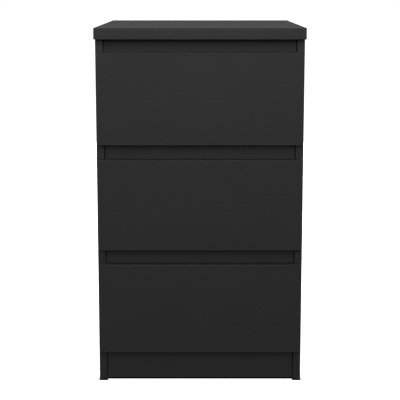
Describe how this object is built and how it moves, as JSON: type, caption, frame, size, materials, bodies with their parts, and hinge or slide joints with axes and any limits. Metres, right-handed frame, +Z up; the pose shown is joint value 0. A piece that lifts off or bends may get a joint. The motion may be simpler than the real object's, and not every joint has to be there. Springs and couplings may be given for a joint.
{
  "type": "nightstand with drawers",
  "caption": "Tall narrow nightstand of matte black board with overlay drawers on roller runners, finger gaps in place of handles, and a recessed plinth.",
  "frame": {"origin": "centre of the footprint of the overall box, on the floor", "axes": "+Z up; -Y out of the drawer fronts, the way the drawers open; +X to the right of someone who faces the drawers"},
  "size_m": [0.404, 0.5, 0.701],
  "materials": {
    "black_foil_board": "matte black foil with a fine embossed grain on particleboard, edges banded",
    "drawer_foil_board": "plain matte black foil on thin board",
    "drawer_bottom_board": "black-lacquered smooth face of thin hardboard",
    "back_hardboard": "bare brown fibreboard outside, black lacquer inside",
    "coated_steel": "off-white epoxy powder coat on 1 mm pressed steel",
    "nylon": "natural white nylon, moulded",
    "glide_plastic": "moulded black plastic"
  },
  "bodies": {
    "carcass": {"top_panel": "black_foil_board", "left_side_panel": "black_foil_board", "right_side_panel": "black_foil_board", "back_panel": "back_hardboard", "plinth_board": "black_foil_board", "lower_front_rail": "black_foil_board", "upper_front_rail": "black_foil_board", "top_front_rail": "black_foil_board", "rear_bottom_rail": "black_foil_board", "rear_top_rail": "black_foil_board", "front_left_glide": "glide_plastic", "rear_left_glide": "glide_plastic", "front_right_glide": "glide_plastic", "rear_right_glide": "glide_plastic", "lower_left_cabinet_runner": "coated_steel", "lower_right_cabinet_runner": "coated_steel", "middle_left_cabinet_runner": "coated_steel", "middle_right_cabinet_runner": "coated_steel", "upper_left_cabinet_runner": "coated_steel", "upper_right_cabinet_runner": "coated_steel"},
    "lower_drawer": {"lower_drawer_front": "black_foil_board", "lower_drawer_left_side": "drawer_foil_board", "lower_drawer_right_side": "drawer_foil_board", "lower_drawer_back": "drawer_foil_board", "lower_drawer_bottom": "drawer_bottom_board", "lower_left_drawer_runner": "coated_steel", "lower_right_drawer_runner": "coated_steel"},
    "lower_left_front_roller": {"lower_left_front_roller": "nylon"},
    "lower_left_rear_roller": {"lower_left_rear_roller": "nylon"},
    "lower_right_front_roller": {"lower_right_front_roller": "nylon"},
    "lower_right_rear_roller": {"lower_right_rear_roller": "nylon"},
    "middle_drawer": {"middle_drawer_front": "black_foil_board", "middle_drawer_left_side": "drawer_foil_board", "middle_drawer_right_side": "drawer_foil_board", "middle_drawer_back": "drawer_foil_board", "middle_drawer_bottom": "drawer_bottom_board", "middle_left_drawer_runner": "coated_steel", "middle_right_drawer_runner": "coated_steel"},
    "middle_left_front_roller": {"middle_left_front_roller": "nylon"},
    "middle_left_rear_roller": {"middle_left_rear_roller": "nylon"},
    "middle_right_front_roller": {"middle_right_front_roller": "nylon"},
    "middle_right_rear_roller": {"middle_right_rear_roller": "nylon"},
    "upper_drawer": {"upper_drawer_front": "black_foil_board", "upper_drawer_left_side": "drawer_foil_board", "upper_drawer_right_side": "drawer_foil_board", "upper_drawer_back": "drawer_foil_board", "upper_drawer_bottom": "drawer_bottom_board", "upper_left_drawer_runner": "coated_steel", "upper_right_drawer_runner": "coated_steel"},
    "upper_left_front_roller": {"upper_left_front_roller": "nylon"},
    "upper_left_rear_roller": {"upper_left_rear_roller": "nylon"},
    "upper_right_front_roller": {"upper_right_front_roller": "nylon"},
    "upper_right_rear_roller": {"upper_right_rear_roller": "nylon"}
  },
  "joints": [
    {"name": "lower_drawer_slide", "type": "slide", "parent": "carcass", "child": "lower_drawer", "axis": [0, -1, 0], "range_m": [0, 0.34]},
    {"name": "lower_left_front_roller_spin", "type": "hinge", "parent": "carcass", "child": "lower_left_front_roller", "pos_m": [-0.18013, -0.215, 0.0865], "axis": [1, 0, 0], "range_deg": [0, 2293]},
    {"name": "lower_left_rear_roller_spin", "type": "hinge", "parent": "lower_drawer", "child": "lower_left_rear_roller", "pos_m": [-0.17888, 0.208, 0.0875], "axis": [1, 0, 0], "range_deg": [0, 1989]},
    {"name": "lower_right_front_roller_spin", "type": "hinge", "parent": "carcass", "child": "lower_right_front_roller", "pos_m": [0.18013, -0.215, 0.0865], "axis": [1, 0, 0], "range_deg": [0, 2293]},
    {"name": "lower_right_rear_roller_spin", "type": "hinge", "parent": "lower_drawer", "child": "lower_right_rear_roller", "pos_m": [0.17888, 0.208, 0.0875], "axis": [1, 0, 0], "range_deg": [0, 1989]},
    {"name": "middle_drawer_slide", "type": "slide", "parent": "carcass", "child": "middle_drawer", "axis": [0, -1, 0], "range_m": [0, 0.34]},
    {"name": "middle_left_front_roller_spin", "type": "hinge", "parent": "carcass", "child": "middle_left_front_roller", "pos_m": [-0.18013, -0.215, 0.2935], "axis": [1, 0, 0], "range_deg": [0, 2293]},
    {"name": "middle_left_rear_roller_spin", "type": "hinge", "parent": "middle_drawer", "child": "middle_left_rear_roller", "pos_m": [-0.17888, 0.208, 0.2945], "axis": [1, 0, 0], "range_deg": [0, 1989]},
    {"name": "middle_right_front_roller_spin", "type": "hinge", "parent": "carcass", "child": "middle_right_front_roller", "pos_m": [0.18013, -0.215, 0.2935], "axis": [1, 0, 0], "range_deg": [0, 2293]},
    {"name": "middle_right_rear_roller_spin", "type": "hinge", "parent": "middle_drawer", "child": "middle_right_rear_roller", "pos_m": [0.17888, 0.208, 0.2945], "axis": [1, 0, 0], "range_deg": [0, 1989]},
    {"name": "upper_drawer_slide", "type": "slide", "parent": "carcass", "child": "upper_drawer", "axis": [0, -1, 0], "range_m": [0, 0.34]},
    {"name": "upper_left_front_roller_spin", "type": "hinge", "parent": "carcass", "child": "upper_left_front_roller", "pos_m": [-0.18013, -0.215, 0.5005], "axis": [1, 0, 0], "range_deg": [0, 2293]},
    {"name": "upper_left_rear_roller_spin", "type": "hinge", "parent": "upper_drawer", "child": "upper_left_rear_roller", "pos_m": [-0.17888, 0.208, 0.5015], "axis": [1, 0, 0], "range_deg": [0, 1989]},
    {"name": "upper_right_front_roller_spin", "type": "hinge", "parent": "carcass", "child": "upper_right_front_roller", "pos_m": [0.18013, -0.215, 0.5005], "axis": [1, 0, 0], "range_deg": [0, 2293]},
    {"name": "upper_right_rear_roller_spin", "type": "hinge", "parent": "upper_drawer", "child": "upper_right_rear_roller", "pos_m": [0.17888, 0.208, 0.5015], "axis": [1, 0, 0], "range_deg": [0, 1989]}
  ],
  "couplings": [
    {"joint": "lower_left_front_roller_spin", "follows": "lower_drawer_slide", "rad_per_m": 117.65},
    {"joint": "lower_left_rear_roller_spin", "follows": "lower_drawer_slide", "rad_per_m": 102.04},
    {"joint": "lower_right_front_roller_spin", "follows": "lower_drawer_slide", "rad_per_m": 117.65},
    {"joint": "lower_right_rear_roller_spin", "follows": "lower_drawer_slide", "rad_per_m": 102.04},
    {"joint": "middle_left_front_roller_spin", "follows": "middle_drawer_slide", "rad_per_m": 117.65},
    {"joint": "middle_left_rear_roller_spin", "follows": "middle_drawer_slide", "rad_per_m": 102.04},
    {"joint": "middle_right_front_roller_spin", "follows": "middle_drawer_slide", "rad_per_m": 117.65},
    {"joint": "middle_right_rear_roller_spin", "follows": "middle_drawer_slide", "rad_per_m": 102.04},
    {"joint": "upper_left_front_roller_spin", "follows": "upper_drawer_slide", "rad_per_m": 117.65},
    {"joint": "upper_left_rear_roller_spin", "follows": "upper_drawer_slide", "rad_per_m": 102.04},
    {"joint": "upper_right_front_roller_spin", "follows": "upper_drawer_slide", "rad_per_m": 117.65},
    {"joint": "upper_right_rear_roller_spin", "follows": "upper_drawer_slide", "rad_per_m": 102.04}
  ]
}
